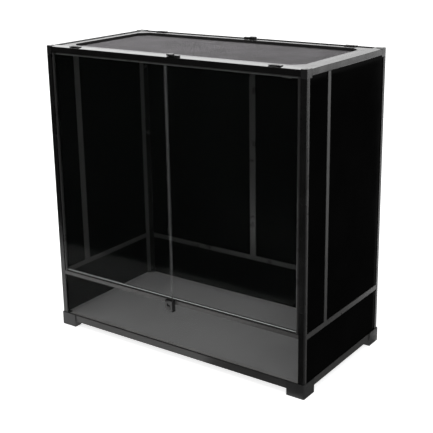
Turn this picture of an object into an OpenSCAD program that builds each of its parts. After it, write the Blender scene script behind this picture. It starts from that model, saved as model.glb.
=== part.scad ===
// Glass terrarium cabinet: a flat-pack frame of black profiles with black side and back panes,
// a clear front with two hinged doors, and a lift-off mesh screen on top.
// Millimetres. X is the width, Y the depth (the doors face -Y), Z is up from the floor.

/* [Overall] */
// Width over the corner feet
overall_w = 900; // [600:10:1200]
// Depth over the corner feet
overall_d = 450; // [350:10:700]
// Height from the floor to the top of the frame
overall_h = 900; // [600:10:1200]

/* [Profiles] */
// Thickness of the posts, mid rails and joiners
profile_t = 8; // [7.5:0.5:10]
// Wall of a hollow profile
wall_t = 2; // [1.5:0.25:3]
// Width of a front post seen from the front
front_post_w = 18; // [17:1:30]
// Width of a back post seen from the back
back_post_w = 28; // [24:1:36]
// Depth of a front post seen from the side
front_post_d = 17; // [16:1:26]
// Depth of a back post seen from the side
back_post_d = 26; // [18:1:26]
// Radius of the outer edge of a post and a corner block
post_round = 3; // [1:0.5:4]
// Depth of a groove that holds a pane
groove_d = 6; // [4:0.5:7]
// Reach of the outer lip of an upright groove
outer_lip = 4; // [2:0.5:4]
// Depth of a back channel's web, outside its groove
back_web = 2; // [2:0.5:5]
// Height of the lower rails above the floor
lower_rail_z = 18; // [12:1:40]
// Height of a lower rail
lower_rail_h = 21; // [17:1:30]
// Depth of a lower rail
lower_rail_d = 23; // [16:1:26]
// Height of a top rail
top_rail_h = 19; // [18:1:30]
// Width of a top rail's flat top
top_rail_w = 26; // [26:1:36]
// How far a top rail's top falls towards its outer edge
top_fall = 1.6; // [0:0.2:2.5]
// Width of the ledge that carries the screen
ledge_w = 10; // [6:1:16]
// Width of a joiner between two panes
joiner_w = 22; // [20:1:30]
// Distance from the frame's front to the middle of a side joiner
joiner_y = 116; // [80:2:170]
// Height of the top of the sill and the mid rails
mid_z = 186; // [140:1:300]
// Height of a mid rail
mid_h = 15; // [14.5:0.5:24]
// Height of the door sill
sill_h = 11.5; // [10.5:0.5:20]
// Depth of the door sill
sill_d = 14; // [13:1:20]
// Depth of the sill's groove for the lower front pane
sill_groove = 4; // [3:0.5:5]

/* [Feet and corner blocks] */
// How far the feet stand proud of the frame
foot_lip = 3; // [1.5:0.5:5]
// Length of a foot's leg
foot_len = 56; // [45:1:90]
// Height of a foot's rim above the lower rails
foot_rim = 2; // [1:0.5:6]
// Radius of a foot's outer edge
foot_round = 4; // [1:0.5:6]
// How far a top corner block hangs below the top rails
block_drop = 5; // [2:1:12]
// Length of the tenons in the rails
tenon_len = 25; // [15:1:40]

/* [Glass and floor] */
// Thickness of the side, back and lower front panes
pane_t = 4; // [3:0.25:4.5]
// Thickness of the floor panel
floor_t = 5; // [3:0.5:6]
// Width of the rebate that the floor panel rests in
floor_seat = 5; // [3:0.5:6]

/* [Doors] */
// Thickness of the door glass
door_t = 5; // [4:0.5:6]
// Radius of the round hinge stile
stile_r = 4.5; // [4.5:0.25:5.5]
// Height of a stile's solid end
stile_end = 3; // [2.5:0.5:8]
// Radius of a hinge pin
pin_r = 2.4; // [1.5:0.1:2.8]
// Length of a hinge pin
pin_len = 4.5; // [3:0.5:5]
// Outer radius of a hinge bush
bush_r = 3.75; // [3.5:0.25:4.25]
// Depth of a hinge bush in its rail
bush_len = 5.5; // [5:0.25:6]
// Height of a bush's flange
flange_h = 1.5; // [0.5:0.25:3]
// Gap between the two closed doors
door_gap = 1.5; // [1:0.25:4]
// Width of the trim on a door's free edge
trim_w = 2.5; // [2:0.5:10]
// Wall of the edge trim
trim_t = 0.8; // [0.5:0.1:1.2]
// Height of the lip that the doors close against
stop_h = 6; // [2:0.5:8]
// Thickness of that lip
stop_t = 2.5; // [1.5:0.5:3]
// Width of the tab that the right door's top corner closes against
stop_tab_w = 26; // [10:1:40]
// How far that tab hangs below the top rail
stop_tab_h = 9; // [6:0.5:14]
// Distance from the right door's hinge axis to the middle of that tab
stop_tab_in = 40; // [25:1:80]

/* [Latch] */
// Width of the latch housing
latch_w = 28; // [26:1:40]
// Height of the latch housing
latch_h = 34; // [34:1:50]
// Depth of the latch housing
latch_d = 14; // [12:1:20]
// Width of the sliding bolt
bolt_w = 16; // [12:1:16]
// Travel of the sliding bolt
bolt_travel = 8; // [5:0.5:8]
// How far the thumb pad stands out of the housing
pad_out = 0.8; // [0.4:0.2:4]

/* [Screen] */
// Width of a screen frame rail
screen_rail_w = 22; // [20:1:30]
// Depth of the screen in its seat
screen_h = 11; // [9:0.5:14]
// Length of a screen corner piece along each rail
screen_corner = 50; // [35:1:70]
// Length of its tenons in the rails
screen_tenon = 22; // [12:1:40]
// Thickness of the mesh sheet
mesh_t = 1; // [0.6:0.1:1.4]
// Width of a wire of the mesh
mesh_wire = 1.6; // [0.8:0.1:3]
// Gaps across the width of the mesh
mesh_nx = 20; // [6:1:25]
// Gaps across the depth of the mesh
mesh_ny = 9; // [4:1:12]
// Radius of the cord that holds the mesh
cord_r = 1.7; // [1.2:0.1:1.9]

/* [Screen fastenings] */
// Distance from the frame's side to the middle of a sliding clip
clip_from_side = 102; // [85:1:200]
// Width of a sliding clip
clip_w = 38; // [20:1:50]
// Thickness of a sliding clip
clip_t = 1.5; // [1:0.5:4]
// Height of the ribs on a clip
clip_rib = 0.5; // [0.2:0.1:1.5]
// Thickness of the hook that holds a clip or a turn latch under the rail's wall
hook_t = 2; // [1:0.25:3]
// Travel of a sliding clip
clip_travel = 6; // [4:0.5:6]
// Width of a turn latch's knob
knob_w = 20; // [18:1:32]
// Depth of a turn latch's knob
knob_d = 14; // [12:1:17]
// Height of a turn latch's knob
knob_h = 5; // [4:0.5:12]
// Reach of a turn latch's arm from its pivot
arm_len = 32; // [26:1:50]
// Width of a turn latch's arm
arm_w = 11; // [8:1:12]
// Radius of a turn latch's pivot
turn_r = 2.5; // [1.5:0.1:3.5]
// Distance of a turn latch's pivot to the right of the cabinet's middle
turn_x = 10; // [-40:1:40]

/* [Screws] */
// Distance of a corner screw from the two outer faces
screw_in = 4.6; // [4.6:0.1:5]
// Radius of a corner screw
screw_r = 1.95; // [1.5:0.05:2]
// Radius of a corner screw's head
screw_head_r = 3.4; // [3:0.1:3.5]
// Height of a corner screw's head
screw_head_h = 2.4; // [1.5:0.1:2.6]
// Length of thread in a post
screw_bite = 18; // [10:1:40]
// Depth of the recess for a screw's head under a foot
foot_sink = 8; // [3:0.5:12]
// Depth of the recess for a screw's head in a top corner block
block_sink = 3; // [2.8:0.1:5]
// Radius of a latch screw
latch_screw_r = 1.2; // [0.8:0.1:1.5]
// Length of thread of a latch screw in the housing
latch_bite = 8; // [5:1:10]

/* [Fits] */
// Gap on each face of a pane in its groove
glass_play = 0.15; // [0.05:0.05:0.3]
// Gap round a pane's edge at the bottom of its groove
edge_play = 0.5; // [0.2:0.1:0.9]
// Radial gap of a hinge pin, bush or screw in its hole
pin_play = 0.05; // [0.02:0.01:0.1]
// Gap between pieces that move past each other
slide_play = 0.3; // [0.2:0.05:0.4]
// Gap round the screen in its seat
screen_play = 0.9; // [0.5:0.1:0.95]
// Gap between a hinge stile and the post beside it
stile_play = 0.8; // [0.6:0.1:0.95]
// Gap between a closed door's trim and the lip behind it
stop_play = 0.4; // [0.2:0.1:0.9]
// Radial gap round a screw's shank and head in a part that it only clamps
screw_play = 0.2; // [0.1:0.05:0.5]

/* [Hidden] */
$fn = 48;
eps = 0.01;

frame_w = overall_w - 2 * foot_lip;
frame_d = overall_d - 2 * foot_lip;
lower_top = lower_rail_z + lower_rail_h;
foot_h = lower_top + foot_rim;
seat_z = lower_top - groove_d;
rail_z = overall_h - top_rail_h;
block_z = rail_z - block_drop;

// The latch is the furthest piece to the front, so the middle of the frame lies behind the origin.
y_mid = (latch_d + pad_out - foot_lip) / 2;
y_front = y_mid - frame_d / 2;
y_back = y_mid + frame_d / 2;

// Grooves lie in the middle of a profile's thickness.
bush_wall = 1.5;
groove_w = pane_t + 2 * glass_play;
groove_in = (profile_t - groove_w) / 2;
pane_in = (profile_t - pane_t) / 2;
tongue_t = pane_t;

// The chamber of a top rail starts behind the hinge bush and the pane groove.
hinge_in = stile_r + 0.5;
chamber_in = hinge_in + bush_r + bush_wall;
chamber_w = top_rail_w - wall_t - chamber_in;
chamber_h = top_rail_h - 2 * wall_t - top_fall;
chamber_top = rail_z + wall_t + chamber_h;
lower_chamber_h = lower_rail_h - wall_t - max(groove_d, floor_t) - wall_t;

// Front (-1) and back (1) posts differ, and each lower rail starts where the foot's seat ends.
function post_wide(side) = side < 0 ? front_post_w : back_post_w;
function post_deep(side) = side < 0 ? front_post_d : back_post_d;
function foot_wide(side) = max(post_wide(side), lower_rail_d);
function foot_deep(side) = max(post_deep(side), lower_rail_d);
// Where the groove of a side channel starts and its outer lip ends, counted from the frame's face.
function channel_groove(side) = side < 0 ? front_post_d - groove_d : profile_t + back_web;
function channel_lip(side) = channel_groove(side) + outer_lip;

// Hinge axis, counted from a front corner of the frame.
hinge_u = front_post_w + stile_r + stile_play;
hinge_x = frame_w / 2 - hinge_u;
hinge_y = y_front + hinge_in;
stile_z0 = mid_z + flange_h + slide_play;
stile_z1 = rail_z - flange_h - slide_play;
door_z0 = stile_z0 + stile_end;
door_z1 = stile_z1 - stile_end;
stop_in = hinge_in + door_t / 2 + trim_t + stop_play;
stop_x = hinge_x - stile_r - 3;

pane_front_x = frame_w / 2 - front_post_w + groove_d - edge_play;
pane_back_x = frame_w / 2 - back_post_w + groove_d - edge_play;
pane_y0 = y_front + channel_groove(-1) + edge_play;
pane_y1 = y_back - channel_groove(1) - edge_play;
web_w = joiner_w - 2 * (groove_d + wall_t);
joiner_mid = y_front + joiner_y;
mid_under = mid_z - mid_h;
sill_z = mid_z - sill_h;

screen_out = top_rail_w + screen_play;
screen_z = overall_h - screen_h;
screen_top = overall_h - 1;
ledge_top = screen_z - slide_play;
screen_x = frame_w / 2 - screen_out;
screen_y = frame_d / 2 - screen_out;
screen_rail_h = screen_top - screen_z;
mesh_in = screen_rail_w - 9;
cord_in = mesh_in + 2 + cord_r;
screen_wall = 1.8;
screen_chamber = mesh_in - screen_wall - 1;

clip_x = frame_w / 2 - clip_from_side;
clip_in = chamber_in + 3;
clip_stem = 3;
turn_in = chamber_in + chamber_w / 2 - 1;
hook_z0 = chamber_top - slide_play - hook_t;
hook_z1 = chamber_top - slide_play;

latch_top = mid_z + 2;
latch_z = latch_top - latch_h;
bolt_x = bolt_w / 2;
bolt_z0 = latch_z + 3 + slide_play;
bolt_z1 = latch_top - 0.5;
nib_z = mid_z - 5;
pad_z = latch_z + 7;
pad_h = 10;
latch_wall = 3;
latch_screw_z = mid_z - 3.5;
latch_screw_x = (bolt_x + slide_play + latch_w / 2) / 2;

// ---- placing ----

// Puts children at an outer corner of the frame, with X and Y running inwards from it.
module corner(sx, sy) {
    translate([sx * frame_w / 2, y_mid + sy * frame_d / 2, 0])
        mirror([sx > 0 ? 1 : 0, 0, 0])
            mirror([0, sy > 0 ? 1 : 0, 0])
                children();
}

// Runs a section along the front (-1) or back (1). The section is drawn as depth from the face, height.
module run_x(side, inset) {
    translate([inset - frame_w / 2, y_mid + side * frame_d / 2, 0])
        mirror([0, side > 0 ? 1 : 0, 0])
            rotate([90, 0, 90])
                linear_extrude(frame_w - 2 * inset)
                    children();
}

// Runs a section along the left (-1) or right (1) side, in the same way.
module run_y(side, front_inset, back_inset) {
    translate([side * frame_w / 2, y_back - back_inset, 0])
        mirror([side > 0 ? 1 : 0, 0, 0])
            rotate([90, 0, 0])
                linear_extrude(frame_d - front_inset - back_inset)
                    children();
}

// A box from one corner to the other.
module span(low, high) {
    translate(low) cube(high - low);
}

module chamfered(w, d, c) {
    polygon([
        [c - w / 2, -d / 2], [w / 2 - c, -d / 2], [w / 2, c - d / 2], [w / 2, d / 2 - c],
        [w / 2 - c, d / 2], [c - w / 2, d / 2], [-w / 2, d / 2 - c], [-w / 2, c - d / 2]
    ]);
}

module rounded(w, d, r) {
    square([w - 2 * r, d], center = true);
    square([w, d - 2 * r], center = true);
    for (x = [-1, 1], y = [-1, 1])
        translate([x * (w / 2 - r), y * (d / 2 - r)])
            circle(r);
}

// ---- feet and corner blocks ----

// Cuts the outer vertical edge of a corner piece round, from z0 up to z1.
module outer_edge_cut(lip, r, z0, z1) {
    translate([-lip - eps, -lip - eps, z0 - eps])
        difference() {
            cube([r + eps, r + eps, z1 - z0 + 2 * eps]);
            translate([r + eps, r + eps, -eps])
                cylinder(r = r, h = z1 - z0 + 4 * eps, $fn = 24);
        }
}

module foot(side) {
    w = foot_wide(side);
    d = foot_deep(side);
    ridge_in = lower_rail_d - floor_seat;
    color("#3a3a3a")
        difference() {
            union() {
                span([-foot_lip, -foot_lip, 0], [foot_len - foot_lip, lower_rail_d, lower_rail_z]);
                span([-foot_lip, -foot_lip, 0], [lower_rail_d, foot_len - foot_lip, lower_rail_z]);
                span([-foot_lip, -foot_lip, 0], [foot_len - foot_lip, 0, foot_h]);
                span([-foot_lip, -foot_lip, 0], [0, foot_len - foot_lip, foot_h]);
                span([-eps, -eps, lower_rail_z - eps], [w, lower_rail_d, seat_z]);
                span([-eps, -eps, lower_rail_z - eps], [lower_rail_d, d, seat_z]);
                // The ridge beside the floor panel runs on between the rails
                span([profile_t, profile_t, seat_z - eps], [w, ridge_in, lower_top]);
                span([profile_t, profile_t, seat_z - eps], [ridge_in, d, lower_top]);
                span(
                    [w - eps, wall_t + pin_play, lower_rail_z + wall_t + pin_play],
                    [w + tenon_len, lower_rail_d - wall_t - pin_play,
                        lower_rail_z + wall_t + lower_chamber_h - pin_play]
                );
                span(
                    [wall_t + pin_play, d - eps, lower_rail_z + wall_t + pin_play],
                    [lower_rail_d - wall_t - pin_play, d + tenon_len,
                        lower_rail_z + wall_t + lower_chamber_h - pin_play]
                );
            }
            outer_edge_cut(foot_lip, foot_round, 0, foot_h);
            translate([screw_in, screw_in, -eps])
                cylinder(r = screw_r + screw_play, h = foot_h);
            translate([screw_in, screw_in, -eps])
                cylinder(r = screw_head_r + screw_play, h = foot_sink);
        }
}

module top_block(side) {
    w = post_wide(side);
    d = post_deep(side);
    side_tenon = min(chamber_in + chamber_w, w) - pin_play;
    color("#161616")
        difference() {
            union() {
                span([0, 0, block_z], [w, top_rail_w, overall_h]);
                span(
                    [w - eps, chamber_in + pin_play, rail_z + wall_t + pin_play],
                    [w + tenon_len, chamber_in + chamber_w - pin_play,
                        rail_z + wall_t + chamber_h - pin_play]
                );
                span(
                    [chamber_in + pin_play, top_rail_w - eps, rail_z + wall_t + pin_play],
                    [side_tenon, top_rail_w + tenon_len,
                        rail_z + wall_t + chamber_h - pin_play]
                );
            }
            outer_edge_cut(0, post_round, block_z, overall_h);
            // Grooves that let the panes' top corners in
            span(
                [w - groove_d, groove_in, block_z - eps],
                [w + eps, groove_in + groove_w, rail_z + groove_d]
            );
            span(
                [groove_in, channel_groove(side), block_z - eps],
                [groove_in + groove_w, top_rail_w + eps, rail_z + groove_d]
            );
            translate([screw_in, screw_in, block_z - eps])
                cylinder(r = screw_r + screw_play, h = overall_h);
            translate([screw_in, screw_in, overall_h - block_sink])
                cylinder(r = screw_head_r + screw_play, h = block_sink + 1);
        }
}

// ---- posts, rails and joiners ----

module post(sx, sy) {
    color("#1b1b1b")
        corner(sx, sy)
            translate([0, 0, seat_z])
                linear_extrude(block_z - seat_z)
                    difference() {
                        union() {
                            translate([post_round, 0])
                                square([post_wide(sy) - post_round, profile_t]);
                            translate([0, post_round])
                                square([post_wide(sy), profile_t - post_round]);
                            translate([post_round, post_round])
                                circle(post_round, $fn = 24);
                        }
                        translate([post_wide(sy) - groove_d, groove_in])
                            square([groove_d + eps, groove_w]);
                        translate([screw_in, screw_in])
                            circle(screw_r + pin_play);
                    }
}

// The channels behind the posts hold the side panes' edges. Their inner lips are the longer ones.
module side_channels() {
    color("#262626")
        for (sx = [-1, 1], sy = [-1, 1])
            corner(sx, sy)
                translate([0, 0, seat_z])
                    linear_extrude(block_z - seat_z)
                        difference() {
                            translate([0, profile_t])
                                square([profile_t, post_deep(sy) - profile_t]);
                            translate([groove_in, channel_groove(sy)])
                                square([groove_w, post_deep(sy)]);
                            translate([-eps, channel_lip(sy)])
                                square([groove_in + 2 * eps, post_deep(sy)]);
                        }
}

module lower_rail_section() {
    translate([0, lower_rail_z])
        difference() {
            square([lower_rail_d, lower_rail_h]);
            translate([wall_t, wall_t])
                square([lower_rail_d - 2 * wall_t, lower_chamber_h]);
            translate([groove_in, lower_rail_h - groove_d])
                square([groove_w, groove_d + eps]);
            translate([lower_rail_d - floor_seat, lower_rail_h - floor_t])
                square([floor_seat + eps, floor_t + eps]);
        }
}

// The ledge part is left out where the two rails' ledges would meet.
module top_rail_section(grooved, ledge) {
    translate([0, rail_z])
        difference() {
            union() {
                polygon([
                    [0, 0], [top_rail_w, 0], [top_rail_w, top_rail_h], [0, top_rail_h - top_fall]
                ]);
                if (ledge)
                    square([top_rail_w + ledge_w, ledge_top - rail_z]);
            }
            translate([chamber_in, wall_t])
                square([chamber_w, chamber_h]);
            if (grooved)
                translate([groove_in, -eps])
                    square([groove_w, groove_d + eps]);
        }
}

module top_rail_long(side) {
    difference() {
        union() {
            run_x(side, top_rail_w + ledge_w)
                top_rail_section(side > 0, true);
            run_x(side, post_wide(side))
                top_rail_section(side > 0, false);
        }
        // Slots for the clips' stems and a hole for the turn latch
        for (x = [-clip_x, clip_x])
            span_from_face(
                side,
                [x - clip_stem - slide_play, clip_in - slide_play, chamber_top - 1],
                [x + clip_stem + slide_play, clip_in + clip_stem + clip_travel + slide_play,
                    overall_h + 1]
            );
        from_face(side)
            translate([turn_x, turn_in, chamber_top - 1])
                cylinder(r = turn_r + pin_play, h = overall_h - chamber_top + 2);
    }
}

// X as it is, Y counted inwards from the front (-1) or back (1) face.
module from_face(side) {
    translate([0, y_mid + side * frame_d / 2, 0])
        mirror([0, side > 0 ? 1 : 0, 0])
            children();
}

module span_from_face(side, low, high) {
    from_face(side)
        span(low, high);
}

module top_rail_front() {
    color("#141414")
        difference() {
            union() {
                top_rail_long(-1);
                span_from_face(
                    -1,
                    [-stop_x, stop_in, rail_z - stop_h],
                    [stop_x, stop_in + stop_t, rail_z + eps]
                );
                span_from_face(
                    -1,
                    [hinge_x - stop_tab_in - stop_tab_w / 2, stop_in, rail_z - stop_tab_h],
                    [hinge_x - stop_tab_in + stop_tab_w / 2, stop_in + stop_t, rail_z + eps]
                );
            }
            for (x = [-hinge_x, hinge_x])
                translate([x, hinge_y, rail_z - 1])
                    cylinder(r = bush_r + pin_play, h = bush_len + 1 + pin_play);
        }
}

module top_rail_back() {
    color("#141414") top_rail_long(1);
}

module top_rail_short(side) {
    color("#141414")
        run_y(side, top_rail_w, top_rail_w)
            top_rail_section(true, true);
}

// A flat strip with a groove for a pane above and below.
module mid_section() {
    translate([0, mid_under])
        difference() {
            square([profile_t, mid_h]);
            translate([groove_in, -eps])
                square([groove_w, groove_d + eps]);
            translate([groove_in, mid_h - groove_d])
                square([groove_w, groove_d + eps]);
        }
}

// The web between the grooves runs on as a tongue into the posts.
module mid_tongue_section() {
    translate([pane_in, mid_under + groove_d])
        square([tongue_t, mid_h - 2 * groove_d]);
}

module mid_rail_back() {
    color("#333333") {
        run_x(1, back_post_w) mid_section();
        run_x(1, back_post_w - groove_d + edge_play) mid_tongue_section();
    }
}

// The outer face of a side mid rail runs on to the channels' outer lips.
module mid_rail_side(side) {
    color("#333333") {
        run_y(side, front_post_d, back_post_d) mid_section();
        run_y(side, channel_lip(-1), channel_lip(1))
            translate([0, mid_under]) {
                square([groove_in, mid_h]);
                translate([0, groove_d])
                    square([pane_in + eps, mid_h - 2 * groove_d]);
            }
        run_y(side, channel_groove(-1) + edge_play, channel_groove(1) + edge_play)
            mid_tongue_section();
    }
}

module door_sill() {
    color("#2c2c2c")
        difference() {
            union() {
                run_x(-1, front_post_w)
                    translate([0, sill_z])
                        square([sill_d, sill_h]);
                run_x(-1, front_post_w - groove_d + edge_play)
                    translate([pane_in, sill_z + sill_groove + 1])
                        square([tongue_t, sill_h - sill_groove - 2]);
                span_from_face(
                    -1,
                    [-stop_x, stop_in, mid_z - eps],
                    [stop_x, stop_in + stop_t, mid_z + stop_h]
                );
            }
            run_x(-1, front_post_w - eps)
                translate([groove_in, sill_z - eps])
                    square([groove_w, sill_groove + eps]);
            for (x = [-hinge_x, hinge_x])
                translate([x, hinge_y, mid_z - bush_len - pin_play])
                    cylinder(r = bush_r + pin_play, h = bush_len + 1);
            // Clearance for the nib of the latch bolt
            span_from_face(
                -1,
                [-bolt_x - slide_play, -eps, nib_z],
                [bolt_x + slide_play, hinge_in - door_t / 2 - trim_t, mid_z + eps]
            );
            for (x = [-latch_screw_x, latch_screw_x])
                from_face(-1)
                    translate([x, -eps, latch_screw_z])
                        rotate([-90, 0, 0])
                            cylinder(r = latch_screw_r + pin_play, h = sill_d + 1);
        }
}

// An upright strip with a groove on each side, drawn with its middle at X 0 and its outer face at Y 0.
module joiner() {
    translate([0, 0, mid_z])
        linear_extrude(rail_z - mid_z)
            difference() {
                translate([-joiner_w / 2, 0])
                    square([joiner_w, profile_t]);
                for (x = [-joiner_w / 2 - eps, web_w / 2])
                    translate([x, groove_in])
                        square([(joiner_w - web_w) / 2 + eps, groove_w]);
                for (x = [-joiner_w / 2 - eps, web_w / 2 + outer_lip])
                    translate([x, -eps])
                        square([(joiner_w - web_w) / 2 - outer_lip + eps, groove_in + 2 * eps]);
            }
    translate([-web_w / 2, pane_in, mid_z - groove_d])
        cube([web_w, tongue_t, rail_z - mid_z + 2 * groove_d - edge_play]);
}

module joiner_back() {
    color("#333333") from_face(1) joiner();
}

module joiner_side(side) {
    color("#333333")
        translate([side * frame_w / 2, joiner_mid, 0])
            rotate([0, 0, side > 0 ? 90 : -90])
                joiner();
}

// ---- glass and floor ----

// A pane in the front (-1) or back (1) wall.
module pane_x_wall(side, x0, x1, z0, z1) {
    span_from_face(side, [x0, pane_in, z0], [x1, pane_in + pane_t, z1]);
}

// A pane in the left (-1) or right (1) wall.
module pane_y_wall(side, y0, y1, z0, z1) {
    x_out = side * (frame_w / 2 - pane_in);
    x_in = side * (frame_w / 2 - pane_in - pane_t);
    span([min(x_out, x_in), y0, z0], [max(x_out, x_in), y1, z1]);
}

lower_pane_z1 = mid_under + groove_d - edge_play;
upper_pane_z0 = mid_z - groove_d;
upper_pane_z1 = rail_z + groove_d - edge_play;
web_side = web_w / 2 + glass_play;

module pane_front_lower() {
    color("#a9b5b0", 0.25)
        pane_x_wall(
            -1, -pane_front_x, pane_front_x, seat_z, sill_z + sill_groove - edge_play
        );
}

module pane_back_lower() {
    color("#050505") pane_x_wall(1, -pane_back_x, pane_back_x, seat_z, lower_pane_z1);
}

module pane_back_upper(half) {
    x0 = half < 0 ? -pane_back_x : web_side;
    x1 = half < 0 ? -web_side : pane_back_x;
    color("#050505") pane_x_wall(1, x0, x1, upper_pane_z0, upper_pane_z1);
}

module pane_side_lower(side) {
    color("#050505")
        pane_y_wall(side, pane_y0, pane_y1, seat_z, lower_pane_z1);
}

module pane_side_upper(side, rear) {
    y0 = rear ? joiner_mid + web_side : pane_y0;
    y1 = rear ? pane_y1 : joiner_mid - web_side;
    color("#050505")
        pane_y_wall(side, y0, y1, upper_pane_z0, upper_pane_z1);
}

module floor_panel() {
    edge = lower_rail_d - floor_seat + edge_play;
    color("#565656")
        span(
            [edge - frame_w / 2, y_front + edge, lower_top - floor_t],
            [frame_w / 2 - edge, y_back - edge, lower_top]
        );
}

// ---- screws and hinge bushes ----

// None of a screw's shank shows, so it is drawn with twelve sides.
module screw(r, head_r, head_h, len) {
    cylinder(r = r, h = len, $fn = 12);
    translate([0, 0, -head_h]) cylinder(r = head_r, h = head_h + eps);
}

module frame_screws() {
    color("#1a1a1a") {
        for (sx = [-1, 1], sy = [-1, 1])
            corner(sx, sy)
                translate([screw_in, screw_in, 0]) {
                    translate([0, 0, foot_sink])
                        screw(screw_r, screw_head_r, screw_head_h, seat_z + screw_bite - foot_sink);
                    translate([0, 0, overall_h - block_sink])
                        rotate([180, 0, 0])
                            screw(
                                screw_r, screw_head_r, screw_head_h,
                                overall_h - block_sink - block_z + screw_bite
                            );
                }
        for (x = [-latch_screw_x, latch_screw_x])
            from_face(-1)
                translate([x, sill_d, latch_screw_z])
                    rotate([90, 0, 0])
                        screw(latch_screw_r, latch_screw_r + 1, 1.2, sill_d + latch_bite);
    }
}

// Drawn with the rail's face at Z 0 and the barrel below it.
module bush() {
    difference() {
        union() {
            translate([0, 0, -bush_len]) cylinder(r = bush_r, h = bush_len + eps);
            cylinder(r = stile_r, h = flange_h);
        }
        translate([0, 0, -bush_len - eps])
            cylinder(r = pin_r + pin_play, h = bush_len + flange_h + 2 * eps);
    }
}

module hinge_bushes() {
    color("#202020")
        for (x = [-hinge_x, hinge_x]) {
            translate([x, hinge_y, mid_z]) bush();
            translate([x, hinge_y, rail_z]) rotate([180, 0, 0]) bush();
        }
}

// ---- doors ----

// Drawn for the left door; the right one is its mirror image.
module door_side(side) {
    mirror([side > 0 ? 1 : 0, 0, 0])
        children();
}

glass_end = door_gap / 2 + trim_t;

module door_glass(side) {
    color("#b4bfba", 0.2)
        door_side(side)
            span(
                [-hinge_x - 1, hinge_y - door_t / 2, door_z0],
                [-glass_end, hinge_y + door_t / 2, door_z1]
            );
}

module door_stile(side) {
    color("#242424")
        door_side(side)
            difference() {
                translate([-hinge_x, hinge_y, 0]) {
                    translate([0, 0, stile_z0]) cylinder(r = stile_r, h = stile_z1 - stile_z0);
                    translate([0, 0, stile_z0 - pin_len])
                        cylinder(r = pin_r, h = stile_z1 - stile_z0 + 2 * pin_len);
                }
                span(
                    [-hinge_x - 1, hinge_y - door_t / 2, door_z0],
                    [stile_r + 1 - hinge_x, hinge_y + door_t / 2, door_z1]
                );
            }
}

module door_trim(side) {
    color("#8a8d8b")
        door_side(side)
            difference() {
                span(
                    [-door_gap / 2 - trim_w, hinge_y - door_t / 2 - trim_t, door_z0],
                    [-door_gap / 2, hinge_y + door_t / 2 + trim_t, door_z1]
                );
                span(
                    [-door_gap / 2 - trim_w - 1, hinge_y - door_t / 2, door_z0 - 1],
                    [-glass_end, hinge_y + door_t / 2, door_z1 + 1]
                );
            }
}

// ---- latch ----

// Y is counted inwards from the frame's front face, so the housing lies at negative Y.
module latch_housing() {
    color("#2c2a2b")
        from_face(-1)
            difference() {
                translate([0, -latch_d / 2, latch_z])
                    linear_extrude(latch_h)
                        difference() {
                            square([latch_w, latch_d], center = true);
                            for (x = [-1, 1])
                                translate([x * latch_w / 2, -latch_d / 2])
                                    rotate(45)
                                        square(2.4, center = true);
                        }
                span(
                    [-bolt_x - slide_play, latch_wall - latch_d, latch_z + 3],
                    [bolt_x + slide_play, -1, latch_top + eps]
                );
                span(
                    [-bolt_x - slide_play, -1 - eps, nib_z],
                    [bolt_x + slide_play, eps, latch_top + eps]
                );
                span(
                    [2 - bolt_x - slide_play, -latch_d - eps, pad_z - slide_play],
                    [bolt_x - 2 + slide_play, latch_wall - latch_d + eps,
                        pad_z + pad_h + bolt_travel + slide_play]
                );
                for (x = [-latch_screw_x, latch_screw_x])
                    translate([x, eps, latch_screw_z])
                        rotate([90, 0, 0])
                            cylinder(r = latch_screw_r + pin_play, h = latch_bite + pin_play);
            }
}

spring_w = 1.6;

module latch_bolt() {
    back = -1 - slide_play;
    front = latch_wall - latch_d + slide_play;
    color("#1d1c1c")
        from_face(-1) {
            difference() {
                span([-bolt_x, front, bolt_z0], [bolt_x, back, bolt_z1]);
                // Relief for the leaf spring
                span(
                    [bolt_x - spring_w - 1, front + 2, bolt_z0 - eps],
                    [bolt_x + eps, back + eps, nib_z]
                );
            }
            span(
                [-bolt_x, back - eps, nib_z + slide_play],
                [bolt_x, hinge_in - door_t / 2 - trim_t - slide_play, bolt_z1]
            );
            span([2 - bolt_x, -latch_d - pad_out + 0.4, pad_z], [bolt_x - 2, front + eps, pad_z + pad_h]);
            for (k = [0:3])
                translate([2 - bolt_x, -latch_d - pad_out, pad_z + 0.5 + k * pad_h / 4])
                    cube([bolt_w - 4, 0.4 + eps, pad_h / 8]);
        }
}

// A bowed strip that rests against the housing's side and bears on the bolt.
module latch_leaf_spring() {
    leaf_t = 0.5;
    chord = nib_z - latch_z - 5;
    sag = spring_w - leaf_t;
    bow_r = (chord * chord / 4 + sag * sag) / (2 * sag);
    x_wall = bolt_x + slide_play;
    color("#9a9a9a")
        from_face(-1)
            intersection() {
                translate([x_wall + bow_r - spring_w, -4, latch_z + 3 + chord / 2])
                    rotate([90, 0, 0])
                        difference() {
                            cylinder(r = bow_r, h = 4, center = true, $fn = 96);
                            cylinder(r = bow_r - leaf_t, h = 5, center = true, $fn = 96);
                        }
                span(
                    [x_wall - spring_w - 1, -8, latch_z + 3 + 0.1],
                    [x_wall, -1, latch_z + 3 + chord]
                );
            }
}

// ---- screen ----

// Section of a screen rail: distance from its outer edge, height from its underside.
module screen_section() {
    difference() {
        square([screen_rail_w, screen_rail_h]);
        translate([mesh_in, -eps])
            square([screen_rail_w, mesh_t + eps]);
        translate([cord_in - cord_r - pin_play, mesh_t - eps])
            square([2 * (cord_r + pin_play), 2 * cord_r + 2 * pin_play]);
        translate([screen_wall, screen_wall])
            square([screen_chamber, screen_rail_h - 2 * screen_wall]);
    }
}

// Puts children at the start of each of the four rails, with X along the rail and Y inwards.
// $run is that rail's length.
module screen_sides() {
    for (a = [0, 180])
        rotate([0, 0, a])
            translate([screen_corner - screen_x, -screen_y, screen_z]) {
                $run = 2 * (screen_x - screen_corner);
                children();
            }
    for (a = [90, 270])
        rotate([0, 0, a])
            translate([screen_corner - screen_y, -screen_x, screen_z]) {
                $run = 2 * (screen_y - screen_corner);
                children();
            }
}

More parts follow.
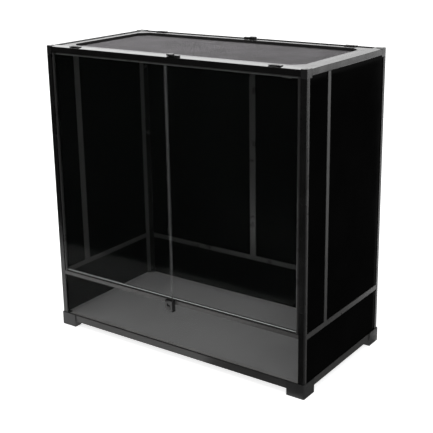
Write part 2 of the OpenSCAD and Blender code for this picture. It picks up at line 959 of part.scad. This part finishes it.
module screen_rails() {
    color("#1c1c1c")
        translate([0, y_mid, 0])
            screen_sides()
                rotate([90, 0, 90])
                    linear_extrude($run)
                        screen_section();
}

module screen_cord() {
    color("#101010")
        translate([0, y_mid, 0])
            screen_sides()
                translate([0, cord_in, mesh_t + pin_play + cord_r])
                    rotate([0, 90, 0])
                        cylinder(r = cord_r, h = $run);
}

// A corner piece closes the rails' ends, braces the corner and has a tenon for each rail.
module screen_corners() {
    tenon_in = screen_wall + pin_play;
    tenon_w = screen_chamber - 2 * pin_play;
    tenon_h = screen_rail_h - 2 * screen_wall - 2 * pin_play;
    color("#2a2a2a")
        for (sx = [-1, 1], sy = [-1, 1])
            corner(sx, sy)
                translate([screen_out, screen_out, screen_z]) {
                    difference() {
                        linear_extrude(screen_rail_h)
                            polygon([
                                [0, 0], [screen_corner, 0], [screen_corner, screen_rail_w],
                                [screen_rail_w, screen_corner], [0, screen_corner]
                            ]);
                        translate([mesh_in, mesh_in, -eps])
                            cube([screen_corner, screen_corner, mesh_t + eps]);
                    }
                    translate([screen_corner - eps, tenon_in, tenon_in])
                        cube([screen_tenon + eps, tenon_w, tenon_h]);
                    translate([tenon_in, screen_corner - eps, tenon_in])
                        cube([tenon_w, screen_tenon + eps, tenon_h]);
                }
}

module screen_mesh() {
    edge = mesh_in + pin_play;
    hx = screen_x - edge;
    hy = screen_y - edge;
    step_x = (2 * hx - mesh_wire) / mesh_nx;
    step_y = (2 * hy - mesh_wire) / mesh_ny;
    color("#77757a")
        translate([0, y_mid, screen_z])
            linear_extrude(mesh_t)
                difference() {
                    square([2 * hx, 2 * hy], center = true);
                    for (i = [0:mesh_nx - 1], j = [0:mesh_ny - 1])
                        translate([mesh_wire - hx + i * step_x, mesh_wire - hy + j * step_y])
                            square([step_x - mesh_wire, step_y - mesh_wire]);
                }
}

// ---- screen fastenings ----

// Slides inwards over the screen frame to lock it; drawn in its open place.
module clip(x, side) {
    plate_z = overall_h + slide_play;
    y0 = clip_in - 3;
    y1 = top_rail_w - 0.2;
    color("#2a2a2a")
        from_face(side)
            translate([x, 0, 0]) {
                translate([0, (y0 + y1) / 2, plate_z])
                    linear_extrude(clip_t)
                        chamfered(clip_w, y1 - y0, 1.5);
                for (k = [-2:2])
                    translate([k * clip_w / 7 - 1, y0 + 3, plate_z + clip_t - eps])
                        cube([2, y1 - y0 - 6, clip_rib + eps]);
                span(
                    [-clip_stem, clip_in, hook_z0],
                    [clip_stem, clip_in + clip_stem, plate_z + eps]
                );
                span(
                    [-clip_stem - 2, clip_in - 2, hook_z0],
                    [clip_stem + 2, clip_in + clip_stem + 0.5, hook_z1]
                );
            }
}

// Turns a quarter to bring its arm over the screen frame; drawn with the arm along the rail.
module turn_latch(side) {
    base_z = overall_h + slide_play;
    arm_t = 3;
    color("#222222")
        from_face(side)
            translate([turn_x, turn_in, 0])
                mirror([side > 0 ? 1 : 0, 0, 0]) {
                    translate([0, 0, base_z])
                        linear_extrude(knob_h)
                            rounded(knob_w, knob_d, 3);
                    translate([(arm_len + knob_w / 2 - 2) / 2, 0, base_z])
                        linear_extrude(arm_t)
                            chamfered(arm_len - knob_w / 2 + 2, arm_w, 2.5);
                    translate([0, 0, hook_z0])
                        cylinder(r = turn_r, h = base_z + 1 - hook_z0);
                    translate([0, 0, hook_z0])
                        cylinder(r = turn_r + 1.8, h = hook_t, $fn = 12);
                }
}

// ---- the nodes ----

corner(-1, -1) foot(-1);  // foot_front_left
corner(1, -1) foot(-1);  // foot_front_right
corner(-1, 1) foot(1);  // foot_back_left
corner(1, 1) foot(1);  // foot_back_right
color("#353233") run_x(-1, foot_wide(-1)) lower_rail_section();  // lower_rail_front
color("#353233") run_x(1, foot_wide(1)) lower_rail_section();  // lower_rail_back
color("#353233") run_y(-1, foot_deep(-1), foot_deep(1)) lower_rail_section();  // lower_rail_left
color("#353233") run_y(1, foot_deep(-1), foot_deep(1)) lower_rail_section();  // lower_rail_right
floor_panel();
post(-1, -1);  // post_front_left
post(1, -1);  // post_front_right
post(-1, 1);  // post_back_left
post(1, 1);  // post_back_right
side_channels();
top_rail_front();
top_rail_back();
top_rail_short(-1);  // top_rail_left
top_rail_short(1);  // top_rail_right
corner(-1, -1) top_block(-1);  // top_block_front_left
corner(1, -1) top_block(-1);  // top_block_front_right
corner(-1, 1) top_block(1);  // top_block_back_left
corner(1, 1) top_block(1);  // top_block_back_right
door_sill();
mid_rail_back();
mid_rail_side(-1);  // mid_rail_left
mid_rail_side(1);  // mid_rail_right
joiner_back();
joiner_side(-1);  // joiner_left
joiner_side(1);  // joiner_right
pane_front_lower();
pane_back_lower();
pane_back_upper(-1);  // pane_back_upper_left
pane_back_upper(1);  // pane_back_upper_right
pane_side_lower(-1);  // pane_left_lower
pane_side_upper(-1, false);  // pane_left_upper_front
pane_side_upper(-1, true);  // pane_left_upper_rear
pane_side_lower(1);  // pane_right_lower
pane_side_upper(1, false);  // pane_right_upper_front
pane_side_upper(1, true);  // pane_right_upper_rear
frame_screws();
hinge_bushes();
latch_housing();
latch_leaf_spring();
latch_bolt();
door_glass(-1);  // door_left_glass
door_stile(-1);  // door_left_stile
door_trim(-1);  // door_left_trim
door_glass(1);  // door_right_glass
door_stile(1);  // door_right_stile
door_trim(1);  // door_right_trim
screen_rails();
screen_corners();
screen_mesh();
screen_cord();
clip(-clip_x, -1);  // clip_front_left
clip(clip_x, -1);  // clip_front_right
clip(-clip_x, 1);  // clip_back_left
clip(clip_x, 1);  // clip_back_right
turn_latch(-1);  // turn_latch_front
turn_latch(1);  // turn_latch_back
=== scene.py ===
"""Looks for the glass terrarium cabinet.

A black profile frame holds black panes, clear doors and a mesh lid.
"""
import math

import bmesh
import bpy
from mathutils import Matrix, Quaternion, Vector


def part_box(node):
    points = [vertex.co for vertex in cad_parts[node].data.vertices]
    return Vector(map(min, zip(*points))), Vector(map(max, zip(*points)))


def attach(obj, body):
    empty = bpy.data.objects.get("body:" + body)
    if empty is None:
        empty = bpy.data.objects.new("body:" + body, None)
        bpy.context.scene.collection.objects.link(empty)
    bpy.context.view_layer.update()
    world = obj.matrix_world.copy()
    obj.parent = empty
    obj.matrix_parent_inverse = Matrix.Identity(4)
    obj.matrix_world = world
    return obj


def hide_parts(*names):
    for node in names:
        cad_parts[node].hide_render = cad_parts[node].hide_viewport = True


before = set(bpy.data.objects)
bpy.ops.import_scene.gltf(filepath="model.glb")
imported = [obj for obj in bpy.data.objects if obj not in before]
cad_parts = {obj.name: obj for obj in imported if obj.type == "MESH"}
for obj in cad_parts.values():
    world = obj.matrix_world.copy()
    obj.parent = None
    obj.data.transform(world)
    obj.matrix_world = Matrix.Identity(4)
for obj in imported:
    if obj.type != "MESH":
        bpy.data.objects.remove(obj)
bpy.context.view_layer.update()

MM = 0.001
PHOTO_SIDE = 433

# ---- the photograph's camera ----
CAMERA_PLACE = Vector((1.577, -2.1833, 1.2716))
CAMERA_AZIMUTH = 35.588
CAMERA_ELEVATION = 16.025
CAMERA_ROLL = -0.932
FOCAL_PIXELS = 930.0
HORIZON_RISE = 36.5  # pixels that the optical axis lies above the middle of the photograph


def aim_camera():
    data = bpy.data.cameras.new("photo_camera")
    data.sensor_width = 36.0
    data.lens = FOCAL_PIXELS / PHOTO_SIDE * data.sensor_width
    data.shift_y = -HORIZON_RISE / PHOTO_SIDE
    data.clip_start, data.clip_end = 0.05, 100.0
    camera = bpy.data.objects.new("photo_camera", data)
    bpy.context.scene.collection.objects.link(camera)
    a, e = math.radians(CAMERA_AZIMUTH), math.radians(CAMERA_ELEVATION)
    ahead = Vector((-math.sin(a) * math.cos(e), math.cos(a) * math.cos(e), -math.sin(e)))
    camera.location = CAMERA_PLACE
    camera.rotation_mode = "QUATERNION"
    camera.rotation_quaternion = ahead.to_track_quat("-Z", "Y") @ Quaternion(
        (0, 0, 1), math.radians(CAMERA_ROLL)
    )
    bpy.context.scene.camera = camera
    bpy.context.scene.view_settings.view_transform = "Standard"


aim_camera()


# ---- building materials ----
NOISE_LOW, NOISE_HIGH = 0.3, 0.7  # the part of a noise's range, or a slant's, that is spread out


class Finish:
    """A procedural material: one Principled shader, fed from noise on Object coordinates."""

    def __init__(self, name):
        self.material = bpy.data.materials.new(name)
        self.material.use_nodes = True
        self.tree = self.material.node_tree
        self.tree.nodes.clear()
        self.shader = self.add("ShaderNodeBsdfPrincipled")
        self.join(self.shader, "BSDF", self.add("ShaderNodeOutputMaterial"), "Surface")
        self.coordinates = self.add("ShaderNodeTexCoord")

    def add(self, kind):
        return self.tree.nodes.new(kind)

    def join(self, source, output, target, socket):
        self.tree.links.new(source.outputs[output], target.inputs[socket])

    def set(self, **values):
        for key, value in values.items():
            self.shader.inputs[key.replace("_", " ")].default_value = value
        return self

    def noise(self, stretch, detail=2.0):
        """Noise whose grain is one over the stretch, in metres, along each axis."""
        place = self.add("ShaderNodeMapping")
        place.inputs["Scale"].default_value = stretch
        noise = self.add("ShaderNodeTexNoise")
        noise.inputs["Scale"].default_value = 1.0
        noise.inputs["Detail"].default_value = detail
        noise.inputs["Roughness"].default_value = 0.5
        self.join(self.coordinates, "Object", place, "Vector")
        self.join(place, "Vector", noise, "Vector")
        return noise

    def ramp(self, source, low, high):
        ramp = self.add("ShaderNodeValToRGB")
        ramp.color_ramp.elements[0].position = NOISE_LOW
        ramp.color_ramp.elements[1].position = NOISE_HIGH
        ramp.color_ramp.elements[0].color = (*low, 1)
        ramp.color_ramp.elements[1].color = (*high, 1)
        self.join(source, "Fac", ramp, "Fac")
        return ramp

    def spread(self, source, low, high, output="Fac"):
        spread = self.add("ShaderNodeMapRange")
        spread.inputs["From Min"].default_value = NOISE_LOW
        spread.inputs["From Max"].default_value = NOISE_HIGH
        spread.inputs["To Min"].default_value = low
        spread.inputs["To Max"].default_value = high
        self.join(source, output, spread, "Value")
        return spread

    def colour(self, stretch, low, high, detail=3.0):
        ramp = self.ramp(self.noise(stretch, detail), low, high)
        self.join(ramp, "Color", self.shader, "Base Color")
        return self

    def roughness(self, stretch, low, high):
        spread = self.spread(self.noise(stretch), low, high)
        self.join(spread, "Result", self.shader, "Roughness")
        return self

    def bump(self, stretch, height, strength):
        bump = self.add("ShaderNodeBump")
        bump.inputs["Strength"].default_value = strength
        bump.inputs["Distance"].default_value = height
        self.join(self.noise(stretch), "Fac", bump, "Height")
        self.join(bump, "Normal", self.shader, "Normal")
        return self


def grey(value, tint=0.0):
    """A neutral colour, slightly warm or cool."""
    return (value * (1 + tint), value, value * (1 - tint))


ALONG = {"x": (3, 700, 700), "y": (700, 3, 700), "z": (700, 700, 3)}


def extruded(name, axis, low, high, rough, lines=0.5):
    """Powder-coated profile, with faint die lines along its length."""
    return (
        Finish(name)
        .colour((14, 14, 14), grey(low, 0.02), grey(high, 0.02))
        .roughness((30, 30, 30), rough - 0.04, rough + 0.05)
        .bump(ALONG[axis], 0.00004, lines)
        .material
    )


TOP_X = extruded("top_rail_coat_x", "x", 0.005, 0.008, 0.11, 0.15)
TOP_Y = extruded("top_rail_coat_y", "y", 0.005, 0.008, 0.11, 0.15)
# The lip under the front top rail is made paler than the rail itself: a painted highlight.
STOP_PAINTED_HIGHLIGHT = extruded("door_stop_painted_highlight", "x", 0.07, 0.09, 0.3)
# The lower rails' tops beside the floor panel are painted paler: a painted reflection.
SEAT_PAINTED_REFLECTION = extruded("floor_seat_painted_reflection", "x", 0.3, 0.36, 0.3)
POST = extruded("post_coat", "z", 0.006, 0.009, 0.24)
BASE_X = extruded("base_coat_x", "x", 0.032, 0.04, 0.4)
BASE_Y = extruded("base_coat_y", "y", 0.032, 0.04, 0.4)
PROFILE_X = extruded("profile_coat_x", "x", 0.035, 0.042, 0.3)
PROFILE_Y = extruded("profile_coat_y", "y", 0.035, 0.042, 0.3)
PROFILE_Z = extruded("profile_coat_z", "z", 0.035, 0.042, 0.3)
# Paler copies of the profile coat, painted light: they light up the profiles' faces inside the
# cabinet and the door sill.
PROFILE_PAINTED_LIGHT_X = extruded("profile_painted_light_x", "x", 0.058, 0.07, 0.38)
PROFILE_PAINTED_LIGHT_Y = extruded("profile_painted_light_y", "y", 0.058, 0.07, 0.38)
PROFILE_PAINTED_LIGHT_Z = extruded("profile_painted_light_z", "z", 0.058, 0.07, 0.38)
LID = extruded("lid_coat", "x", 0.016, 0.022, 0.11, 0.15)
STILE = extruded("stile_coat", "z", 0.026, 0.034, 0.3)
FOOT = (
    Finish("foot_moulding")
    .colour((25, 25, 25), grey(0.022), grey(0.032))
    .roughness((60, 60, 60), 0.42, 0.55)
    .bump((1800, 1800, 1800), 0.00006, 0.6)
    .material
)
BLOCK = (
    Finish("top_block_moulding")
    .colour((25, 25, 25), grey(0.014), grey(0.02))
    .roughness((60, 60, 60), 0.14, 0.22)
    .bump((1800, 1800, 1800), 0.00003, 0.3)
    .material
)
FITTING = (
    Finish("fitting_moulding")
    .colour((40, 40, 40), grey(0.018), grey(0.026))
    .roughness((90, 90, 90), 0.18, 0.26)
    .bump((2200, 2200, 2200), 0.00004, 0.5)
    .material
)
FITTING_TOP = extruded("fitting_top", "x", 0.016, 0.022, 0.11, 0.15)
PANEL = (
    Finish("black_glass")
    .colour((6, 6, 6), grey(0.0012), grey(0.0022))
    .roughness((9, 9, 9), 0.03, 0.07)
    .bump((5, 5, 5), 0.0002, 0.08)
    .set(Specular_IOR_Level=0.004)
    .material
)
FLOOR_PANEL = (
    Finish("floor_grey")
    .colour((7, 7, 7), grey(0.38), grey(0.42))
    .roughness((12, 12, 12), 0.06, 0.1)
    .bump((900, 900, 900), 0.00002, 0.3)
    .material
)
TRIM = (
    Finish("edge_trim")
    .colour((30, 30, 60), grey(0.33), grey(0.4))
    .roughness((80, 80, 20), 0.1, 0.16)
    .set(Alpha=0.1)
    .material
)
SCREWS = (
    Finish("black_screws")
    .colour((300, 300, 300), grey(0.02), grey(0.04))
    .roughness((400, 400, 400), 0.25, 0.4)
    .set(Metallic=0.8)
    .material
)
SPRING = (
    Finish("spring_steel")
    .colour((200, 200, 20), grey(0.42), grey(0.5))
    .roughness((300, 300, 30), 0.2, 0.3)
    .set(Metallic=1.0)
    .material
)
# The wire's own grey, wandering in paler and darker patches about a tenth of a metre across; the
# patches are painted reflection.
WIRE_GREY_AND_REFLECTION = (
    Finish("mesh_wire")
    .colour((9, 9, 9), (0.175, 0.167, 0.175), (0.245, 0.234, 0.245), 4.0)
    .roughness((30, 30, 30), 0.4, 0.5)
    .set(Metallic=0.3)
    .material
)
CORD = (
    Finish("rubber_cord")
    .colour((60, 60, 60), grey(0.012), grey(0.02))
    .roughness((80, 80, 80), 0.6, 0.75)
    .bump((1500, 1500, 1500), 0.00005, 0.5)
    .material
)


CLEAREST, FULLEST = 0.05, 0.3  # how opaque the clear glass is, face on and at a slant


def clear_glass():
    """A clear sheet: nearly see-through face on, and more of a mirror at a slant."""
    glass = Finish("clear_glass")
    glass.colour((4, 4, 4), (0.02, 0.024, 0.022), (0.03, 0.036, 0.033))
    glass.roughness((6, 6, 6), 0.01, 0.03)
    weight = glass.add("ShaderNodeLayerWeight")
    weight.inputs["Blend"].default_value = 0.35
    face = glass.spread(weight, CLEAREST, FULLEST, output="Facing")
    glass.join(face, "Result", glass.shader, "Alpha")
    return glass.material


CLEAR = clear_glass()
# Near-white edges for the clear sheets: a painted highlight.
GLASS_EDGE_HIGHLIGHT = (
    Finish("glass_edge_painted_highlight")
    .colour((9, 9, 9), (0.7, 0.74, 0.72), (0.8, 0.84, 0.82))
    .roughness((40, 40, 40), 0.1, 0.2)
    .material
)


# ---- dressing the CAD pieces ----
WELD = 2e-6  # vertices closer than this are one
SHARP = math.radians(40)  # edges sharper than this are eased
CREASE = math.radians(20)  # faces shade smoothly across edges flatter than this
FLAT = math.radians(0.5)  # faces closer to one plane than this become one
FACING = 0.9  # least cosine at which a face counts as facing a way
FOOT_EASE, BLOCK_EASE, RAIL_EASE = 0.8 * MM, 0.6 * MM, 0.7 * MM
PROFILE_EASE, STILE_EASE = 0.4 * MM, 0.3 * MM
CLIP_EASE, FITTING_EASE, BOLT_EASE = 0.4 * MM, 0.5 * MM, 0.2 * MM


def new_piece(name, shape, material, body):
    """A piece that is smooth where it is round and flat where it is flat."""
    for face in shape.faces:
        face.smooth = True
    for edge in shape.edges:
        edge.smooth = len(edge.link_faces) == 2 and edge.calc_face_angle() < CREASE
    mesh = bpy.data.meshes.new(name)
    shape.to_mesh(mesh)
    shape.free()
    mesh.materials.append(material)
    piece = bpy.data.objects.new(name, mesh)
    bpy.context.scene.collection.objects.link(piece)
    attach(piece, body)
    return piece


def merged(node):
    """A copy of a CAD node's mesh with its doubles merged and its flat faces whole."""
    shape = bmesh.new()
    shape.from_mesh(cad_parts[node].data)
    bmesh.ops.remove_doubles(shape, verts=shape.verts, dist=WELD)
    bmesh.ops.dissolve_limit(shape, angle_limit=FLAT, verts=shape.verts, edges=shape.edges)
    shape.normal_update()
    return shape


def eased(node, body, material, width, other=None, where=None):
    """A CAD node's shape with its sharp edges eased; it takes the node's place.

    The faces that pass the where test get the other material.
    """
    shape = merged(node)
    sharp = [edge for edge in shape.edges if edge.calc_face_angle(0) > SHARP]
    bmesh.ops.bevel(
        shape, geom=sharp, offset=width, offset_type="OFFSET", affect="EDGES", segments=2,
        profile=0.5, clamp_overlap=True, material=-1,
    )
    shape.normal_update()
    for face in shape.faces:
        face.material_index = 1 if where and where(face) else 0
    piece = new_piece(node + "_eased", shape, material, body)
    if other:
        piece.data.materials.append(other)
    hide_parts(node)


def sheet_glass(node, body):
    """A clear sheet whose polished edges carry a painted highlight; it takes the place of its CAD
    node.
    """
    shape = merged(node)
    for face in shape.faces:
        # The edge faces get the painted highlight.
        face.material_index = 0 if abs(face.normal.y) > FACING else 1
    piece = new_piece(node + "_sheet", shape, CLEAR, body)
    piece.data.materials.append(GLASS_EDGE_HIGHLIGHT)
    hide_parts(node)


def paint(node, material):
    """Gives a CAD node that keeps its shape its finish."""
    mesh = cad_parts[node].data
    mesh.materials.clear()
    mesh.materials.append(material)


CORNERS = ("front_left", "front_right", "back_left", "back_right")
REFLECTION_PAST_MIDDLE = 2 * MM  # how far the painted reflection on the floor panel's seat reaches past a lower rail's middle
PAINTED_LIGHT_INSET = 3 * MM  # faces further in than this from the channels' outside get the paler painted light
ARM_DROP = 1.5 * MM  # a turn latch's arm lies at least this far below its knob's top
STOP_DROP = 0.2 * MM  # the door stop hangs at least this far below the top rails


def lower_rail(side, axis, material):
    """A lower rail, its top beside the floor panel made paler by a painted reflection."""
    node = f"lower_rail_{side}"
    low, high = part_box(node)
    middle = abs(low[axis] + high[axis]) / 2

    def reflection_beside_floor(face):
        place = face.calc_center_median()
        on_top = face.normal.z > FACING and place.z > high.z - MM
        return on_top and abs(place[axis]) < middle + REFLECTION_PAST_MIDDLE

    eased(node, "cabinet", material, PROFILE_EASE, SEAT_PAINTED_REFLECTION, reflection_beside_floor)


def painted_light_faces(face):
    """True for the faces of a profile that lie inside the cabinet's outer walls; these get painted
    light, a paler shade.
    """
    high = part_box("side_channels")[1]
    place = face.calc_center_median()
    return abs(place.x) < high.x - PAINTED_LIGHT_INSET and place.y < high.y - PAINTED_LIGHT_INSET


def profile(node, outside, inside):
    """A profile between panes, with painted light, a paler shade, on the side that faces into the
    cabinet.
    """
    eased(node, "cabinet", outside, PROFILE_EASE, inside, painted_light_faces)


def clip_top(face):
    """True for the faces of a clip that look up."""
    return face.normal.z > FACING


def arm_top(face):
    """True for the top of a turn latch's arm, which lies lower than its knob."""
    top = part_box("turn_latch_front")[1].z
    return face.normal.z > FACING and face.calc_center_median().z < top - ARM_DROP


def door_stop(face):
    """True for the faces of the lip that hangs below the front top rail, which get a painted
    highlight.
    """
    return face.calc_center_median().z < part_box("top_rail_left")[0].z - STOP_DROP


for corner in CORNERS:
    eased(f"foot_{corner}", "cabinet", FOOT, FOOT_EASE)
    eased(f"post_{corner}", "cabinet", POST, PROFILE_EASE)
    eased(f"top_block_{corner}", "cabinet", BLOCK, BLOCK_EASE)
    clip = f"clip_{corner}"
    eased(clip, clip, FITTING, CLIP_EASE, FITTING_TOP, clip_top)
for side in ("front", "back"):
    lower_rail(side, 1, BASE_X)
    latch = f"turn_latch_{side}"
    eased(latch, latch, FITTING, FITTING_EASE, FITTING_TOP, arm_top)
for side in ("left", "right"):
    lower_rail(side, 0, BASE_Y)
    eased(f"top_rail_{side}", "cabinet", TOP_Y, RAIL_EASE)
    profile(f"mid_rail_{side}", PROFILE_Y, PROFILE_PAINTED_LIGHT_Y)
    profile(f"joiner_{side}", PROFILE_Z, PROFILE_PAINTED_LIGHT_Z)
    eased(f"door_{side}_stile", f"door_{side}", STILE, STILE_EASE)
    paint(f"door_{side}_trim", TRIM)
    sheet_glass(f"door_{side}_glass", f"door_{side}")
    for part in ("lower", "upper_front", "upper_rear"):
        paint(f"pane_{side}_{part}", PANEL)
eased("top_rail_front", "cabinet", TOP_X, RAIL_EASE, STOP_PAINTED_HIGHLIGHT, door_stop)
eased("top_rail_back", "cabinet", TOP_X, RAIL_EASE)
profile("side_channels", PROFILE_Z, PROFILE_PAINTED_LIGHT_Z)
profile("mid_rail_back", PROFILE_X, PROFILE_PAINTED_LIGHT_X)
profile("joiner_back", PROFILE_Z, PROFILE_PAINTED_LIGHT_Z)
# The door sill takes the paler profile coat: a painted highlight.
eased("door_sill", "cabinet", PROFILE_PAINTED_LIGHT_X, PROFILE_EASE)
eased("screen_rails", "screen", LID, RAIL_EASE)
eased("screen_corners", "screen", LID, RAIL_EASE)
eased("latch_housing", "cabinet", FITTING, FITTING_EASE)
eased("latch_bolt", "latch_bolt", FITTING, BOLT_EASE)
for node in ("pane_back_lower", "pane_back_upper_left", "pane_back_upper_right"):
    paint(node, PANEL)
sheet_glass("pane_front_lower", "cabinet")
paint("floor_panel", FLOOR_PANEL)
paint("frame_screws", SCREWS)
paint("hinge_bushes", FITTING)
paint("latch_leaf_spring", SPRING)
paint("screen_cord", CORD)

# ---- the lid's woven mesh ----
WIRE_RADIUS = 0.24 * MM
WIRE_PITCH = 1.6 * MM
WIRE_SIDES = 6
WIRE_PRESS = 0.9  # crossing wires are pressed this much together


def woven_mesh():
    """Two layers of straight wires in place of the CAD mesh."""
    low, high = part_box("screen_mesh")
    middle = (low + high) / 2
    size = high - low
    shape = bmesh.new()
    for axis, across, layer in ((0, 1, -WIRE_RADIUS), (1, 0, WIRE_RADIUS)):
        count = round(size[across] / WIRE_PITCH)
        turn = Matrix.Rotation(math.pi / 2, 4, "Y" if axis == 0 else "X")
        for k in range(count + 1):
            place = middle.copy()
            place[across] = low[across] + WIRE_RADIUS + (size[across] - 2 * WIRE_RADIUS) * k / count
            place.z += layer * WIRE_PRESS
            bmesh.ops.create_cone(
                shape, segments=WIRE_SIDES, cap_ends=True, depth=size[axis],
                radius1=WIRE_RADIUS, radius2=WIRE_RADIUS, matrix=Matrix.Translation(place) @ turn,
            )
    piece = new_piece("lid_wire_mesh", shape, WIRE_GREY_AND_REFLECTION, "screen")
    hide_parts("screen_mesh")


woven_mesh()


# ---- the studio ----
FLOOR_TOP_UP = 0.75  # glow that brings the floor up to white where it is seen
AMBIENT = 0.7
FLOOR_REACH = 20
FLOOR_DROP = 0.0003  # how far the floor lies below the feet
MAT_HEIGHT = 0.6 * MM
FAR = 30


def panel(name, corners, material, glossy_only=False):
    """A flat stage panel; a glossy-only one shows in reflections alone."""
    shape = bmesh.new()
    shape.faces.new([shape.verts.new(corner) for corner in corners])
    mesh = bpy.data.meshes.new(name)
    shape.to_mesh(mesh)
    shape.free()
    mesh.materials.append(material)
    piece = bpy.data.objects.new(name, mesh)
    bpy.context.scene.collection.objects.link(piece)
    if glossy_only:
        piece.visible_camera = piece.visible_diffuse = False
        piece.visible_transmission = piece.visible_shadow = False


def seen_rays(tree):
    """1 for camera, glossy and transmission rays."""
    path = tree.nodes.new("ShaderNodeLightPath")
    total = path.outputs["Is Camera Ray"]
    for output in ("Is Glossy Ray", "Is Transmission Ray"):
        most = tree.nodes.new("ShaderNodeMath")
        most.operation = "MAXIMUM"
        tree.links.new(total, most.inputs[0])
        tree.links.new(path.outputs[output], most.inputs[1])
        total = most.outputs[0]
    return total


def studio_floor():
    paper = bpy.data.materials.new("studio_floor")
    paper.use_nodes = True
    tree = paper.node_tree
    tree.nodes.clear()
    surface = tree.nodes.new("ShaderNodeBsdfDiffuse")
    surface.inputs["Color"].default_value = (0.8, 0.8, 0.8, 1)
    glow = tree.nodes.new("ShaderNodeEmission")
    tree.links.new(seen_rays(tree), glow.inputs["Strength"])
    glow.inputs["Color"].default_value = (FLOOR_TOP_UP, FLOOR_TOP_UP, FLOOR_TOP_UP, 1)
    both = tree.nodes.new("ShaderNodeAddShader")
    output = tree.nodes.new("ShaderNodeOutputMaterial")
    tree.links.new(surface.outputs[0], both.inputs[0])
    tree.links.new(glow.outputs[0], both.inputs[1])
    tree.links.new(both.outputs[0], output.inputs["Surface"])
    r, z = FLOOR_REACH, -FLOOR_DROP
    panel("studio_floor", [(-r, -r, z), (r, -r, z), (r, r, z), (-r, r, z)], paper)


def studio_world():
    world = bpy.data.worlds.new("studio")
    bpy.context.scene.world = world
    world.use_nodes = True
    tree = world.node_tree
    tree.nodes.clear()
    seen = tree.nodes.new("ShaderNodeBackground")
    seen.inputs["Color"].default_value = (1, 1, 1, 1)
    fill = tree.nodes.new("ShaderNodeBackground")
    fill.inputs["Color"].default_value = (1, 1, 1, 1)
    fill.inputs["Strength"].default_value = AMBIENT
    mix = tree.nodes.new("ShaderNodeMixShader")
    output = tree.nodes.new("ShaderNodeOutputWorld")
    tree.links.new(seen_rays(tree), mix.inputs[0])
    tree.links.new(fill.outputs[0], mix.inputs[1])
    tree.links.new(seen.outputs[0], mix.inputs[2])
    tree.links.new(mix.outputs[0], output.inputs["Surface"])


def softbox(name, place, aim, width, height, radiance):
    lamp = bpy.data.lights.new(name, "AREA")
    lamp.shape = "RECTANGLE"
    lamp.size, lamp.size_y = width, height
    lamp.energy = radiance * math.pi * width * height
    piece = bpy.data.objects.new(name, lamp)
    bpy.context.scene.collection.objects.link(piece)
    piece.location = place
    piece.rotation_mode = "QUATERNION"
    piece.rotation_quaternion = (Vector(aim) - Vector(place)).to_track_quat("-Z", "Y")
    piece.visible_camera = False


def card(name, strength):
    """A card's material: black paper, or paper that glows evenly."""
    material = bpy.data.materials.new(name)
    material.use_nodes = True
    shader = material.node_tree.nodes["Principled BSDF"]
    shader.inputs["Base Color"].default_value = (0, 0, 0, 1)
    shader.inputs["Specular IOR Level"].default_value = 0
    shader.inputs["Emission Color"].default_value = (1, 1, 1, 1)
    shader.inputs["Emission Strength"].default_value = strength
    return material


def flat_card(name, x0, x1, y0, y1, material):
    z = MAT_HEIGHT
    panel(name, [(x0, y0, z), (x1, y0, z), (x1, y1, z), (x0, y1, z)], material, True)


def upright_card(name, x0, x1, y, z0, z1, material):
    panel(name, [(x0, y, z0), (x1, y, z0), (x1, y, z1), (x0, y, z1)], material, True)


def studio():
    studio_floor()
    studio_world()
    black, soft = card("studio_flag", 0), card("studio_soft_card", 0.15)
    bright = card("studio_bright_card", 1.15)
    flat_card("flag_mat_left", -FAR, -1.1, -FAR, FAR, black)
    flat_card("flag_mat_front", -1.1, FAR, -FAR, -0.76, black)
    flat_card("flag_mat_right", 8, FAR, -0.76, FAR, black)
    flat_card("flag_mat_back", -1.1, 8, 10, FAR, black)
    flat_card("flag_mat_foot", 0.1, 0.45, -0.76, -0.23, black)
    z = MAT_HEIGHT
    wedge = [(0.45, -0.76, z), (2.9, -0.76, z), (2.9, 5.42, z), (0.45, 0.212, z)]
    panel("card_mat_right", wedge, soft, True)
    wedge = [(0.6, 0.53, z), (2.9, 5.42, z), (2.9, 8, z), (0.6, 1.2, z)]
    panel("card_mat_rear", wedge, card("studio_mat_card", 1.8), True)
    upright_card("flag_front", -12, 12, -4, 0, 8, black)
    panel("flag_left", [(-5, -12, 0), (-5, 2, 0), (-5, 2, 8), (-5, -12, 8)], black, True)
    upright_card("flag_back", -9, -0.3, 3.4, 0, 1.29, black)
    upright_card("flag_rear_right", 0.9, 9, 6.6, 0, 4, black)
    upright_card("card_back", -9, -1.75, 3.4, 1.29, 1.66, bright)
    upright_card("card_right", -1.75, 0.6, 3.4, 1.29, 1.85, bright)
    softbox("softbox_back", (-2.2, 3.6, 2.75), (-0.1, 0, 0.9), 5.0, 2.1, 0.95)
    softbox("softbox_top", (0.2, -0.3, 3.4), (0, 0, 0.5), 2.6, 2.0, 1.3)


studio()
